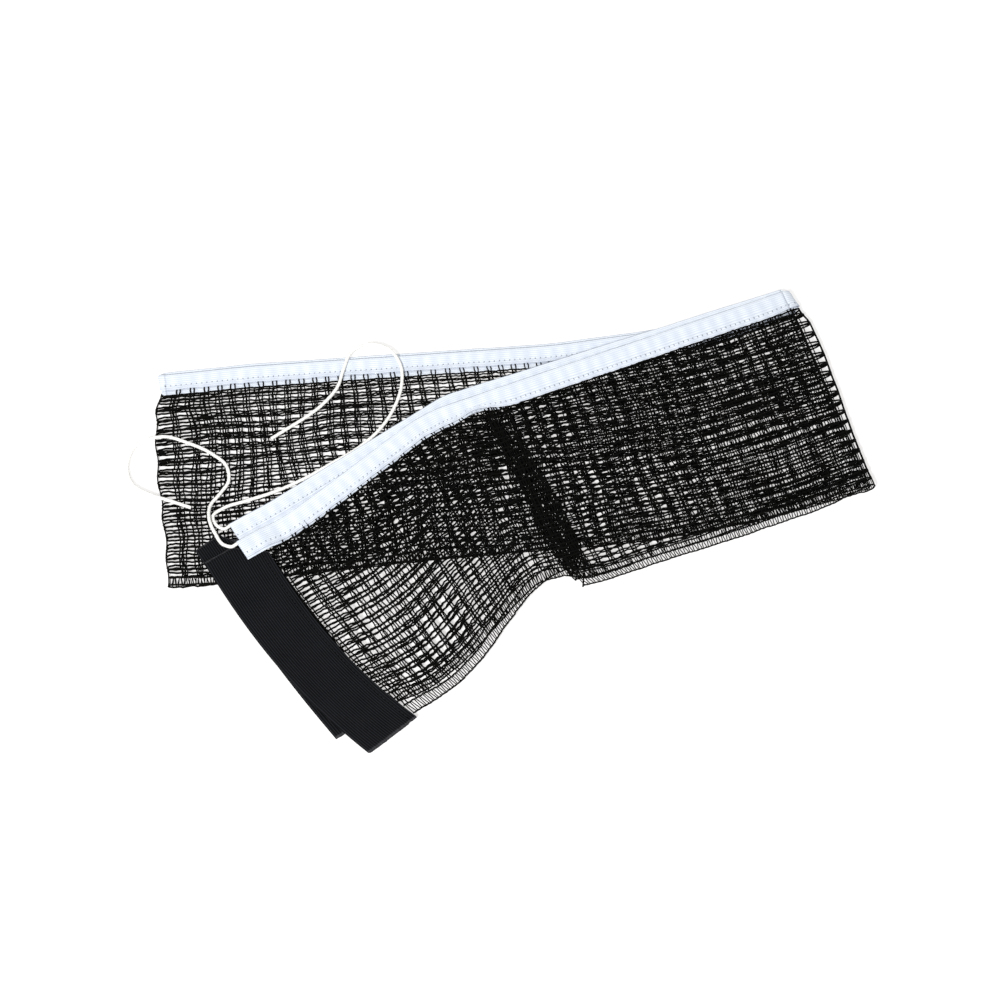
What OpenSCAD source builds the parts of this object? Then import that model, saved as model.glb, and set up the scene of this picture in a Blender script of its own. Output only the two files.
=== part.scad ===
// Table-tennis net, folded in half twice and laid flat on a surface.
// Its four panels lie in a stack, named from the surface up: bottom, third, second and top.
// The bottom and top panels meet in the outer fold at the right, and the third and second panels
// in the inner fold inside it. The bottom and third panels meet in the middle fold at the left.
// The second and top panels swing forward and end in the two post sleeves.
// Origin: bottom centre of the folded net. +X to the right fold, +Y to the head tape, +Z up.

/* [Net] */
// Thickness of the knitted netting where its threads cross
netting_t = 1.2; // [1:0.1:1.3]
// Length of the right fold line across the net
fold_length = 154; // [150:1:156]

/* [Head tape] */
// Width of the folded head tape
tape_w = 15; // [13:0.5:15]
// Thickness of the folded head tape over its cord
tape_t = 2.8; // [2.7:0.1:2.9]
// Diameter of the head cord
cord_d = 2.2; // [1.8:0.1:2.2]
// Clearance round the cord in the tape's tunnel
cord_gap = 0.1; // [0.05:0.05:0.1]
// Width of the sewing thread that closes the tape
thread_w = 0.6; // [0.4:0.1:0.8]
// Height of the sewing thread above the tape
thread_t = 0.2; // [0.1:0.05:0.2]

/* [Post sleeves] */
// Thickness of one ply of sleeve webbing
ply_t = 0.7; // [0.6:0.1:0.8]
// Thickness of one flattened sleeve
sleeve_t = 3.0; // [2.8:0.1:3]

/* [Stack] */
// Height from one layer of head tape to the next
layer_pitch = 3.3; // [3.3:0.1:3.5]
// Clear gap left between neighbouring pieces
gap = 0.3; // [0.2:0.05:0.4]

/* [Hidden] */
$fn = 24;

// Undersides of the four layers of head tape
bottom_z = 0;
third_z = layer_pitch;
second_z = 2 * layer_pitch;
top_z = 3 * layer_pitch;
// The top panel's netting leaves its tape above the two plies of the pleat
top_netting_z = top_z + netting_t;
pleat_z = top_netting_z - netting_t - gap;
tape_centre = tape_t / 2;
netting_edge = tape_w + gap;
// Where the netting and the tapes of the two inner folds start, from the outer tape's top edge
inner_netting_from = tape_w + 5;
inner_tape_from = 1.5;
outer_tape_from = 0.5;
middle_tape_from = 2;

// The right fold line, from the head tape to the hem. It is the hinge line of the upper half.
fold_start = [182.2, 162, -72];
// The middle fold line at the left, from the head tape to the hem
middle_start = [-232.8, 102, -83.7];
middle_length = 154;

// Head tape runs, from the right fold: [straight length, turn in degrees, radius of the turn]
top_run = [[240, 19.7, 92], [84, -8.2, 150], [28, 0, 1]];
second_run = [[232, 15.3, 60], [122, -3, 150], [26, 0, 1]];
lower_run = [[40, -13, 160], [72, -4.5, 300], [180, 2.2, 300], [53, 0, 1]];
// Where each run starts: x, y and heading
top_start = [181.2, 158.4, 201.2];
second_start = [180.8, 162.2, 199.9];
third_start = [181.8, 158.2, 202];
bottom_start = [180.7, 161.8, 202];
// How far along its tape the right panel reaches, up to the pleat
top_panel_end = 218;
second_panel_end = 224;
// How far along its tape the netting reaches, up to the sleeve
top_netting_end = 393;
second_netting_end = 391;
// Steps in which a run takes each turn
bend_steps = 5;

// Hem of the upper right panels, from the right fold to the pleat
right_hem = [[229.5, 13], [204, 0], [158, -18], [81, -45], [56, -54.5], [45, -57.5]];
// The pleat's left edge at the hem and at the tape, and how far its hidden right edge bows
pleat_left = [[42, -51], [36, -47], [32, -44]];
pleat_head = [-14.3, 66];
pleat_bow = 8;
// Shares of the depth at which the pleat's outline has its points
pleat_rows = [0.16, 0.4, 0.7, 1];
// Corner of the second panel beside the lower free end
second_corner = [34, -45];
// Hem of the two lower panels, from the right fold to the middle fold
lower_hem = [
  [229.2, 14], [150, -9], [80, -22], [20, -28], [-60, -36], [-134, -45], [-188, -52], [-215, -54]
];
// Hems of the two free ends, from the pleat to the sleeve
top_end_hem = [[46, -41], [32, -46], [14, -59], [-2, -80], [-19, -105], [-38, -125], [-60, -140]];
second_end_hem = [[33, -46], [20, -51], [5, -65], [-13, -86], [-32, -107], [-52, -123], [-75, -133]];

// Sleeve corners: outer top, outer foot, inner top, inner foot
front_sleeve = [[-193, -42], [-89.5, -163.6], [-153.5, -33], [-60.5, -140.5]];
back_sleeve = [[-200, -32], [-106, -157], [-161.5, -21.8], [-75.5, -133.5]];
// How far the sleeves bow sideways halfway along
front_bow = 6;
back_bow = 2;
// The sleeves' top edges, which rise beside the tape's end: share of the width, share of the length
front_top = [[0, 0], [0.3, -0.028], [0.5, -0.035], [0.66, 0.055], [1, 0.01]];
back_top = [[0, 0], [0.3, -0.031], [0.5, -0.05], [0.66, 0.02], [1, 0]];

// Fall of the free ends, from the lower half's hem down to the surface
fall_start = -31;
fall_slope = 0.115;
fall_run = 90;
// Middle heights of the lower free end's netting: on the surface, and over the lower half
resting_mid = 1.2;
held_mid = second_z + netting_t / 2;
// Where along a free end the netting rises into its sleeve, as shares of its length: start and run
sleeve_rise = [0.6, 0.25];
// Where the upper free end leaves the panel below it, and where it rises to its sleeve
panel_share = [0.15, 0.25];
top_rise = [0.3, 0.55];
// Share of the upper free end's depth over which it drops from its tape
tape_rise = 0.14;

// Routes of the two free cord tails, from just outside the tape's end
front_tail = [
  [-181.8, -29.5, 11.2], [-187.5, -21.5, 10.9], [-192.5, -9, 9.4],
  [-192.5, 1, 7.2], [-187, 10, 6], [-182, 19, 6], [-184, 30, 6], [-194, 39, 6], [-209, 46.5, 6],
  [-227, 51.5, 6], [-244.5, 45, 4.6], [-248.5, 32, 3.4], [-244, 18, 4.2],
  [-233, 10, 6], [-219, 5, 6], [-205, 0, 6]
];
back_tail = [
  [-188, -13.2, 8.1], [-190.3, -6.5, 7.4], [-184, -0.5, 6.4], [-171, 4.5, 6],
  [-153, 11, 6], [-134, 20.5, 6], [-116, 32, 6], [-99, 43.5, 6], [-86, 56.5, 6],
  [-77, 72, 6], [-72, 89, 7.5], [-73, 104, 7.6], [-81, 116.5, 7.5], [-94, 120.5, 7.4],
  [-105.5, 114.5, 7.5], [-110.5, 101, 7.6], [-114, 88, 7.4], [-123, 76, 6.1], [-134, 66, 6],
  [-145, 58, 6], [-156, 50, 6]
];
cord_sides = 8;

/* ---- Places along a run ---- */

function straight_end(p, d) = [p[0] + d * cos(p[2]), p[1] + d * sin(p[2]), p[2]];
function turn_end(p, t, r) = [
  p[0] + sign(t) * r * (sin(p[2] + t) - sin(p[2])),
  p[1] - sign(t) * r * (cos(p[2] + t) - cos(p[2])),
  p[2] + t
];
function after(p, seg) = turn_end(straight_end(p, seg[0]), seg[1], seg[2]);
function bend_length(seg) = abs(seg[1]) * PI / 180 * seg[2];
function run_length(run, i = 0) =
  i == len(run) ? 0 : run[i][0] + bend_length(run[i]) + run_length(run, i + 1);
function pose_at(p, run, s, i = 0) =
  s <= run[i][0] || i == len(run) - 1 ? straight_end(p, s)
  : s <= run[i][0] + bend_length(run[i])
  ? turn_end(straight_end(p, run[i][0]), run[i][1] * (s - run[i][0]) / bend_length(run[i]), run[i][2])
  : pose_at(after(p, run[i]), run, s - run[i][0] - bend_length(run[i]), i + 1);
function bend_poses(p, seg) = seg[1] == 0 ? []
  : [for (k = [0:bend_steps - 1]) turn_end(straight_end(p, seg[0]), seg[1] * k / bend_steps, seg[2])];
function run_poses(p, run, i = 0) =
  i == len(run) ? [p] : concat([p], bend_poses(p, run[i]), run_poses(after(p, run[i]), run, i + 1));
function left_of(p, d) = [p[0] - d * sin(p[2]), p[1] + d * cos(p[2])];
function run_edge(p, run, d) = [for (pose = run_poses(p, run)) left_of(pose, d)];

/* ---- Curves and the fall to the surface ---- */

function ease(t) = let (c = max(0, min(1, t))) c * c * (3 - 2 * c);
function on_line(points, t) =
  let (i = min(len(points) - 2, floor(t * (len(points) - 1))), f = t * (len(points) - 1) - i)
  points[i] + (points[i + 1] - points[i]) * f;
function bowed(a, b, t, bow) =
  let (along = (b - a) / norm(b - a)) a + (b - a) * t + [along[1], -along[0]] * bow * 4 * t * (1 - t);
// 1 over the lower half, easing to 0 on the surface in front of it
function held_up(p) = 1 - ease((fall_start + fall_slope * p[0] - p[1]) / fall_run);
// Middle height of the lower free end's netting, which runs into the middle of its sleeve's tunnel
function second_mid(h, u) = let (t = ease((u - sleeve_rise[0]) / sleeve_rise[1]))
  (1 - t) * (resting_mid + (held_mid - resting_mid) * h) + t * (second_z * h + sleeve_t / 2);
// Middle height of the upper free end's netting, a layer above, and higher at its sleeve and its tape
function top_mid(p, u, v) =
  let (
    h = held_up(p), on_panel = 1 - ease((u - panel_share[0]) / panel_share[1]),
    at_sleeve = ease((u - top_rise[0]) / top_rise[1]), at_tape = 1 - ease(v / tape_rise))
  second_mid(h + (1 - h) * on_panel, u) + netting_t + gap
  + (layer_pitch - netting_t - gap) * max(at_sleeve, at_tape);

/* ---- Building blocks ---- */

// Carries a section along a run: its x is the distance from the top edge, its y the height.
// A hole is a second outline with one point for each point of the section.
module along(p, run, z, section, hole = []) {
  n = len(section);
  poses = run_poses(p, run);
  last = (len(poses) - 1) * n;
  function rings(outline) = [for (pose = poses, q = outline)
    let (place = left_of(pose, q[0])) [place[0], place[1], z + q[1]]];
  function skin(first, turn) = [for (k = [0:len(poses) - 2], i = [0:n - 1])
    let (p = first + k * n, a = p + (turn ? (i + 1) % n : i), b = p + (turn ? i : (i + 1) % n))
    each cell(b, a, a + n, b + n)];
  inner = len(poses) * n;
  caps = hole == []
    ? [[for (i = [0:n - 1]) i], [for (i = [n - 1:-1:0]) last + i]]
    : [for (i = [0:n - 1]) let (j = (i + 1) % n)
        each concat(cell(i, j, inner + j, inner + i),
          cell(last + j, last + i, inner + last + i, inner + last + j))];
  polyhedron(points = concat(rings(section), rings(hole)),
    faces = concat(caps, skin(0, false), hole == [] ? [] : skin(inner, true)));
}

// Carries a cross-section half round a fold line: its x is the radius, its y the way along the line
module round_fold(line, z, side) {
  translate([line[0], line[1], z]) rotate([0, 0, line[2]]) rotate([0, 90, 0])
    rotate([0, 0, side * 90 - 90]) rotate_extrude(angle = 180) children();
}

// The tape's section: round over the cord, square at its sewn edge
tape_section = [
  for (a = [90:30:270]) tape_centre * [1 + cos(a), 1 + sin(a)],
  [tape_centre * (1 + tan(30)), 0], [tape_centre * (1 + tan(60)), 0],
  [tape_w, 0], [tape_w, tape_t],
  [tape_centre * (1 + tan(60)), tape_t], [tape_centre * (1 + tan(30)), tape_t]
];
// The cord's tunnel, a point towards each point of the section
tape_tunnel = [for (p = tape_section) let (way = p - tape_centre * [1, 1])
  tape_centre * [1, 1] + (cord_d / 2 + cord_gap) * way / norm(way)];
cord_section = [for (a = [0:30:330]) tape_centre * [1, 1] + cord_d / 2 * [cos(a), sin(a)]];
seam_from = tape_w - 3 * thread_w;
seam_section = [
  [seam_from, tape_t], [seam_from + thread_w, tape_t],
  [seam_from + thread_w, tape_t + thread_t], [seam_from, tape_t + thread_t]
];
module tape_fold_section(radius, from) {
  difference() {
    translate([radius - tape_centre, from]) square([tape_t, tape_w]);
    translate([radius, from + tape_centre]) circle(d = cord_d + 2 * cord_gap);
  }
}
module cord_fold_section(radius, from) {
  translate([radius, from + tape_centre]) circle(d = cord_d);
}
module netting_fold_section(radius, from, to) {
  translate([radius - netting_t / 2, from]) square([netting_t, to - from]);
}

function cell(a, b, c, d) = [[a, b, c], [a, c, d]];

// A soft slab of even thickness whose middle surface is place(u, v)
module draped(place, across, down, thickness) {
  columns = len(across);
  rows = len(down);
  sheet = [for (side = [0.5, -0.5], v = down, u = across) place(u, v) + [0, 0, side * thickness]];
  half = columns * rows;
  top = [for (r = [0:rows - 2], c = [0:columns - 2]) let (k = r * columns + c)
    each cell(k, k + 1, k + 1 + columns, k + columns)];
  under = [for (t = top) [t[2] + half, t[1] + half, t[0] + half]];
  rim = concat(
    [for (c = [0:columns - 1]) c],
    [for (r = [1:rows - 1]) r * columns + columns - 1],
    [for (c = [columns - 2:-1:0]) (rows - 1) * columns + c],
    [for (r = [rows - 2:-1:1]) r * columns]);
  wall = [for (k = [0:len(rim) - 1]) let (a = rim[k], b = rim[(k + 1) % len(rim)])
    each cell(b, a, a + half, b + half)];
  polyhedron(points = sheet, faces = concat(top, under, wall));
}

// A cord of even thickness through a route's points, one extra ring between each two
module laid_cord(route) {
  last = len(route) - 1;
  function slope(k) = (route[min(last, k + 1)] - route[max(0, k - 1)]) / 2;
  middles = [for (k = [0:last - 1]) (route[k] + route[k + 1]) / 2 + (slope(k) - slope(k + 1)) / 8];
  line = [for (k = [0:2 * last]) k % 2 == 0 ? route[k / 2] : middles[(k - 1) / 2]];
  count = len(line);
  function way(k) = let (d = line[min(count - 1, k + 1)] - line[max(0, k - 1)]) d / norm(d);
  function side(k) = let (w = way(k), s = [-w[1], w[0], 0]) s / norm(s);
  rings = [for (k = [0:count - 1], a = [0:cord_sides - 1])
    let (angle = a * 360 / cord_sides)
    line[k] + cord_d / 2 * (cos(angle) * side(k) + sin(angle) * cross(way(k), side(k)))];
  start_cap = [for (a = [0:cord_sides - 1]) a];
  end_cap = [for (a = [cord_sides - 1:-1:0]) (count - 1) * cord_sides + a];
  skin = [for (k = [0:count - 2], a = [0:cord_sides - 1])
    let (b = (a + 1) % cord_sides, p = k * cord_sides)
    each [[p + b, p + a, p + cord_sides + a], [p + b, p + cord_sides + a, p + cord_sides + b]]];
  polyhedron(points = rings, faces = concat([start_cap, end_cap], skin));
}

function evenly(n, from = 0, to = 1) = [for (k = [0:n]) from + (to - from) * k / n];

/* ---- Netting ---- */

module netting_slab(z, outline) {
  color("#1c1b1a") translate([0, 0, z]) linear_extrude(netting_t) polygon(outline);
}
module netting_bottom_panel() {
  netting_slab(bottom_z, concat(run_edge(bottom_start, lower_run, netting_edge),
    [for (k = [len(lower_hem) - 1:-1:0]) lower_hem[k]]));
}
module netting_third_panel() {
  netting_slab(third_z, concat(run_edge(third_start, lower_run, netting_edge),
    [for (k = [len(lower_hem) - 1:-1:0]) lower_hem[k]]));
}
module netting_second_panel() {
  netting_slab(second_z, concat(
    run_edge(second_start, [[second_panel_end, 0, 1]], netting_edge),
    [second_corner], [for (k = [len(right_hem) - 1:-1:0]) right_hem[k]]));
}
module netting_top_panel() {
  netting_slab(top_netting_z, concat(
    run_edge(top_start, [[top_panel_end, 0, 1]], netting_edge),
    [for (k = [2:-1:0]) pleat_left[k]], [for (k = [len(right_hem) - 1:-1:0]) right_hem[k]]));
}

function top_end_place(u, v) =
  let (
    tape_point = left_of(pose_at(top_start, top_run,
      top_panel_end + (top_netting_end - top_panel_end) * u), netting_edge),
    bow = pleat_bow * (1 - u) - front_bow * u,
    p = tape_point + (on_line(top_end_hem, u) - tape_point) * v + [bow, 0.5 * bow] * 4 * v * (1 - v))
  [p[0], p[1], top_mid(p, u, v)];
function second_end_place(u, v) =
  let (
    tape_point = left_of(pose_at(second_start, second_run,
      second_panel_end + gap + (second_netting_end - second_panel_end) * u), netting_edge),
    bow = -back_bow * u,
    p = tape_point + (on_line(second_end_hem, u) - tape_point) * v + [bow, 0.5 * bow] * 4 * v * (1 - v))
  [p[0], p[1], second_mid(held_up(p), u)];

module netting_top_pleat() {
  edge_left = [for (v = pleat_rows) on_line([pleat_head, pleat_left[2]], v)];
  edge_right = [for (k = [3:-1:0]) let (p = top_end_place(0, pleat_rows[k])) [p[0], p[1]]];
  netting_slab(pleat_z, concat(edge_left, edge_right));
}
module netting_top_end() {
  color("#1c1b1a") draped(function (u, v) top_end_place(u, v), evenly(10, 1, 0), evenly(10), netting_t);
}
module netting_second_end() {
  color("#1c1b1a") draped(function (u, v) second_end_place(u, v), evenly(8, 1, 0), evenly(8), netting_t);
}

module netting_middle_fold() {
  radius = third_z / 2;
  color("#1c1b1a") round_fold(middle_start, radius + netting_t / 2, -1)
    netting_fold_section(radius, inner_netting_from, middle_length);
}
module netting_inner_fold() {
  radius = layer_pitch / 2;
  color("#1c1b1a") round_fold(fold_start, third_z + radius + netting_t / 2, 1)
    netting_fold_section(radius, inner_netting_from, fold_length);
}
module netting_outer_fold() {
  radius = top_netting_z / 2;
  color("#1c1b1a") round_fold(fold_start, radius + netting_t / 2, 1)
    netting_fold_section(radius, outer_tape_from + netting_edge, fold_length);
}

/* ---- Head tape, its cord and its seam ---- */

module tape_colour() {
  color("#dfe6f2") children();
}
module cord_colour() {
  color("#f2efe6") children();
}

module head_tape_bottom() {
  tape_colour() along(bottom_start, lower_run, bottom_z, tape_section, tape_tunnel);
}
module head_tape_third() {
  tape_colour() along(third_start, lower_run, third_z, tape_section, tape_tunnel);
}
module head_tape_second() {
  tape_colour() along(second_start, second_run, second_z, tape_section, tape_tunnel);
}
module head_tape_top() {
  tape_colour() along(top_start, top_run, top_z, tape_section, tape_tunnel);
}
module head_tape_middle_fold() {
  radius = third_z / 2;
  tape_colour() round_fold(middle_start, radius + tape_centre, -1)
    tape_fold_section(radius, middle_tape_from);
}
module head_tape_inner_fold() {
  radius = layer_pitch / 2;
  tape_colour() round_fold(fold_start, third_z + radius + tape_centre, 1)
    tape_fold_section(radius, inner_tape_from);
}
module head_tape_outer_fold() {
  radius = top_z / 2;
  tape_colour() round_fold(fold_start, radius + tape_centre, 1)
    tape_fold_section(radius, outer_tape_from);
}

module head_cord_bottom() {
  cord_colour() along(bottom_start, lower_run, bottom_z, cord_section);
}
module head_cord_third() {
  cord_colour() along(third_start, lower_run, third_z, cord_section);
}
module head_cord_second() {
  cord_colour() along(second_start, second_run, second_z, cord_section);
}
module head_cord_top() {
  cord_colour() along(top_start, top_run, top_z, cord_section);
}
module head_cord_middle_fold() {
  radius = third_z / 2;
  cord_colour() round_fold(middle_start, radius + tape_centre, -1)
    cord_fold_section(radius, middle_tape_from);
}
module head_cord_inner_fold() {
  radius = layer_pitch / 2;
  cord_colour() round_fold(fold_start, third_z + radius + tape_centre, 1)
    cord_fold_section(radius, inner_tape_from);
}
module head_cord_outer_fold() {
  radius = top_z / 2;
  cord_colour() round_fold(fold_start, radius + tape_centre, 1)
    cord_fold_section(radius, outer_tape_from);
}

module tape_seam_bottom() {
  cord_colour() along(bottom_start, lower_run, bottom_z, seam_section);
}
module tape_seam_third() {
  cord_colour() along(third_start, lower_run, third_z, seam_section);
}
module tape_seam_second() {
  cord_colour() along(second_start, second_run, second_z, seam_section);
}
module tape_seam_top() {
  cord_colour() along(top_start, top_run, top_z, seam_section);
}

/* ---- Post sleeves ---- */

// Shares of the sleeve's width at which its plies bend
sleeve_shares = [0.058, 0.3, 0.5, 0.66, 0.83, 1];
function sleeve_place(corners, bow, rise, z, u, v) =
  let (
    top = lookup(u, rise), t = top + (1 - top) * v,
    p = bowed(corners[0], corners[1], t, bow) * (1 - u) + bowed(corners[2], corners[3], t, bow) * u)
  [p[0], p[1], z + 2 * layer_pitch * held_up(p)];
module sleeve_part(corners, bow, rise, z, shares, thickness) {
  color("#15161a") draped(function (u, v) sleeve_place(corners, bow, rise, z, u, v),
    shares, evenly(10), thickness);
}
module back_part(z, shares, thickness) {
  sleeve_part(back_sleeve, back_bow, back_top, z, shares, thickness);
}
module front_part(z, shares, thickness) {
  sleeve_part(front_sleeve, front_bow, front_top, layer_pitch + z, shares, thickness);
}
// Shares of the sleeve's width that its folded edge and its seam take
fold_shares = [0, 0.05];
stitch_shares = [0.88, 0.9];
stitch_t = sleeve_t - 2 * ply_t - 2 * gap;

module sleeve_back_lower_ply() {
  back_part(ply_t / 2, sleeve_shares, ply_t);
}
module sleeve_back_upper_ply() {
  back_part(sleeve_t - ply_t / 2, sleeve_shares, ply_t);
}
module sleeve_back_folded_edge() {
  back_part(sleeve_t / 2, fold_shares, sleeve_t);
}
module sleeve_back_seam() {
  back_part(sleeve_t / 2, stitch_shares, stitch_t);
}
module sleeve_front_lower_ply() {
  front_part(ply_t / 2, sleeve_shares, ply_t);
}
module sleeve_front_upper_ply() {
  front_part(sleeve_t - ply_t / 2, sleeve_shares, ply_t);
}
module sleeve_front_folded_edge() {
  front_part(sleeve_t / 2, fold_shares, sleeve_t);
}
module sleeve_front_seam() {
  front_part(sleeve_t / 2, stitch_shares, stitch_t);
}

/* ---- Free ends of the head cord ---- */

// Where the cord leaves the end of a run, and a place straight on from there
function way_out(p, run, z) =
  let (end = pose_at(p, run, run_length(run)), out = straight_end(end, 4))
  [concat(left_of(end, tape_centre), z + tape_centre), concat(left_of(out, tape_centre), z + tape_centre)];
module cord_tail_back() {
  cord_colour() laid_cord(concat(way_out(second_start, second_run, second_z), back_tail));
}
module cord_tail_front() {
  cord_colour() laid_cord(concat(way_out(top_start, top_run, top_z), front_tail));
}

netting_bottom_panel();
netting_third_panel();
netting_second_panel();
netting_second_end();
netting_top_panel();
netting_top_pleat();
netting_top_end();
netting_middle_fold();
netting_inner_fold();
netting_outer_fold();
head_tape_bottom();
head_tape_third();
head_tape_second();
head_tape_top();
head_tape_middle_fold();
head_tape_inner_fold();
head_tape_outer_fold();
head_cord_bottom();
head_cord_third();
head_cord_second();
head_cord_top();
head_cord_middle_fold();
head_cord_inner_fold();
head_cord_outer_fold();
tape_seam_bottom();
tape_seam_third();
tape_seam_second();
tape_seam_top();
sleeve_back_lower_ply();
sleeve_back_upper_ply();
sleeve_back_folded_edge();
sleeve_back_seam();
sleeve_front_lower_ply();
sleeve_front_upper_ply();
sleeve_front_folded_edge();
sleeve_front_seam();
cord_tail_back();
cord_tail_front();
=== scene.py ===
import math
from collections import namedtuple

import bpy
import numpy as np
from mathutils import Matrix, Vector


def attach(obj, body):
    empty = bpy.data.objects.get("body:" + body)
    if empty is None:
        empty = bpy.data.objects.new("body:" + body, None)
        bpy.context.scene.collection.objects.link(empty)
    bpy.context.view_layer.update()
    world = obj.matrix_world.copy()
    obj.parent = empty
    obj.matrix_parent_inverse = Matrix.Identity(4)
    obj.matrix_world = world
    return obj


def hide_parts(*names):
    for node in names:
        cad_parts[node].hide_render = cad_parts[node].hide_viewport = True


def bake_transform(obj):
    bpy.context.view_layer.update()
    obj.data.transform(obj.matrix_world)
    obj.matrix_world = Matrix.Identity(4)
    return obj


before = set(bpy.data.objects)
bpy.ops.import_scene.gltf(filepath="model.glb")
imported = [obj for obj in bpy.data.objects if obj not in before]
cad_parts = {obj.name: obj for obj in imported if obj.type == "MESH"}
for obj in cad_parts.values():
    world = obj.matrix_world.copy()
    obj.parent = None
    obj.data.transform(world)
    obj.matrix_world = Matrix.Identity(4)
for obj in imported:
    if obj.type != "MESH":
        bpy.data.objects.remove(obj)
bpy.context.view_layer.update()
MM = 0.001

# ---- sizes in mm, the CAD source's but for the second panel's hem and the rise of the front cord
NETTING_EDGE = 15.3
TAPE_T = 2.8
TAPE_CENTRE = TAPE_T / 2
CORD_R, SHEATHED_CORD_R = 1.1, 1.04
SLEEVE_W, SLEEVE_LENGTH = 40.0, 157.0
PITCH_Z = 3.3
BOTTOM_Z, THIRD_Z, SECOND_Z, TOP_Z = 0.0, PITCH_Z, 2 * PITCH_Z, 3 * PITCH_Z
TOP_NETTING_MID = TOP_Z + 1.8
FOLD_OUT = np.array([math.sin(math.radians(72)), math.cos(math.radians(72))])
MIDDLE_OUT = np.array([-math.sin(math.radians(83.7)), -math.cos(math.radians(83.7))])

TOP_RUN = [[240, 19.7, 92], [84, -8.2, 150], [28, 0, 1]]
SECOND_RUN = [[232, 15.3, 60], [122, -3, 150], [26, 0, 1]]
LOWER_RUN = [[40, -13, 160], [72, -4.5, 300], [180, 2.2, 300], [53, 0, 1]]
TOP_START = [181.2, 158.4, 201.2]
SECOND_START = [180.8, 162.2, 199.9]
THIRD_START = [181.8, 158.2, 202]
BOTTOM_START = [180.7, 161.8, 202]

PLEAT_FOOT = [45, -57.5]
RIGHT_HEM = [[229.5, 13], [204, 0], [158, -18], [81, -45], [56, -54.5], PLEAT_FOOT]
SECOND_HEM = [[229.5, 15], [204, 7], [158, -11], [81, -38], [58, -47], [45, -50], [33, -48.5]]
LOWER_HEM = [
    [229.2, 14], [150, -9], [80, -22], [20, -28], [-60, -36], [-134, -45], [-188, -52], [-215, -54],
]
TOP_END_HEM = [[46, -41], [32, -46], [14, -59], [-2, -80], [-19, -105], [-38, -125], [-60, -140]]
SECOND_END_HEM = [[33, -48.5], [20, -52], [5, -65], [-13, -86], [-32, -107], [-52, -123], [-75, -133]]
FRONT_SLEEVE = np.array([[-193, -42], [-89.5, -163.6], [-153.5, -33], [-60.5, -140.5]], float)
BACK_SLEEVE = np.array([[-200, -32], [-106, -157], [-161.5, -21.8], [-75.5, -133.5]], float)

FRONT_TAIL = [
    [-181.8, -29.5, 13.1], [-187.5, -21.5, 12.4], [-192.5, -9, 10.1],
    [-192.5, 1, 7.2], [-187, 10, 6], [-182, 19, 6], [-184, 30, 6], [-194, 39, 6], [-209, 46.5, 6],
    [-227, 51.5, 6], [-244.5, 45, 4.6], [-248.5, 32, 3.4], [-244, 18, 4.2],
    [-233, 10, 6], [-219, 5, 6], [-205, 0, 6],
]
BACK_TAIL = [
    [-188, -13.2, 8.1], [-190.3, -6.5, 7.4], [-184, -0.5, 6.4], [-171, 4.5, 6],
    [-153, 11, 6], [-134, 20.5, 6], [-116, 32, 6], [-99, 43.5, 6], [-86, 56.5, 6],
    [-77, 72, 6], [-72, 89, 7.5], [-73, 104, 7.6], [-81, 116.5, 7.5], [-94, 120.5, 7.4],
    [-105.5, 114.5, 7.5], [-110.5, 101, 7.6], [-114, 88, 7.4], [-123, 76, 6.1], [-134, 66, 6],
    [-145, 58, 6], [-156, 50, 6],
]

# Where the upper panels bend into their free ends, and where those end in the sleeves
TOP_BEND, TOP_NETTED = 218.0, 393
SECOND_BEND, SECOND_NETTED = 224, 391

# The knit: pairs of pillar chains along the net, pairs of inlaid threads across it, and a laddered hem
DEPTH = 139.0
ROW_PITCH, ROW_HALF, ROW_R = 7.6, 1.36, 0.64
COLUMN_PITCH, COLUMN_HALF, COLUMN_R = 8.85, 1.15, 0.45
FIRST_ROW, ROW_PAIRS = 5.2, 17
HEM_W, RUNG_PITCH, RUNG_R = 6.6, 1.75, 0.34


# ---- small helpers
def ease(t):
    c = np.clip(t, 0, 1)
    return c * c * (3 - 2 * c)


class Noise:
    """Smooth value noise from -1 to 1."""

    def __init__(self, seed):
        self.grid = np.random.default_rng(seed).uniform(-1, 1, (64, 64))

    def __call__(self, x, y):
        x, y = np.broadcast_arrays(np.asarray(x, float), np.asarray(y, float))
        xi, yi = np.floor(x).astype(int), np.floor(y).astype(int)
        fx, fy = ease(x - xi), ease(y - yi)
        g = self.grid
        a, b = g[xi & 63, yi & 63], g[(xi + 1) & 63, yi & 63]
        c, d = g[xi & 63, (yi + 1) & 63], g[(xi + 1) & 63, (yi + 1) & 63]
        return (a * (1 - fx) + b * fx) * (1 - fy) + (c * (1 - fx) + d * fx) * fy


def pose_at(start, run, s):
    """x, y and heading along a run, for lengths s."""
    s = np.asarray(s, float)
    out = np.zeros(s.shape + (3,))
    x, y, h = start[0], start[1], math.radians(start[2])
    gone = 0.0
    for i, (straight, turn, radius) in enumerate(run):
        last = i == len(run) - 1
        here = (s >= gone if i else np.full(s.shape, True)) & ((s <= gone + straight) | last)
        d = s - gone
        out[here] = np.stack([x + d * math.cos(h), y + d * math.sin(h), np.full(s.shape, h)], -1)[here]
        x, y, gone = x + straight * math.cos(h), y + straight * math.sin(h), gone + straight
        angle = math.radians(turn)
        length = abs(angle) * radius
        if length:
            here = (s > gone) & (s <= gone + length)
            t, way = angle * (s - gone) / length, math.copysign(radius, angle)
            bend = [x + way * (np.sin(h + t) - math.sin(h)), y - way * (np.cos(h + t) - math.cos(h)), h + t]
            out[here] = np.stack(bend, -1)[here]
            x += way * (math.sin(h + angle) - math.sin(h))
            y -= way * (math.cos(h + angle) - math.cos(h))
            h, gone = h + angle, gone + length
    return out


def left_of(pose, d):
    return np.stack([pose[..., 0] - d * np.sin(pose[..., 2]), pose[..., 1] + d * np.cos(pose[..., 2])], -1)


def run_length(run):
    return sum(a + abs(math.radians(t)) * r for a, t, r in run)


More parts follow.
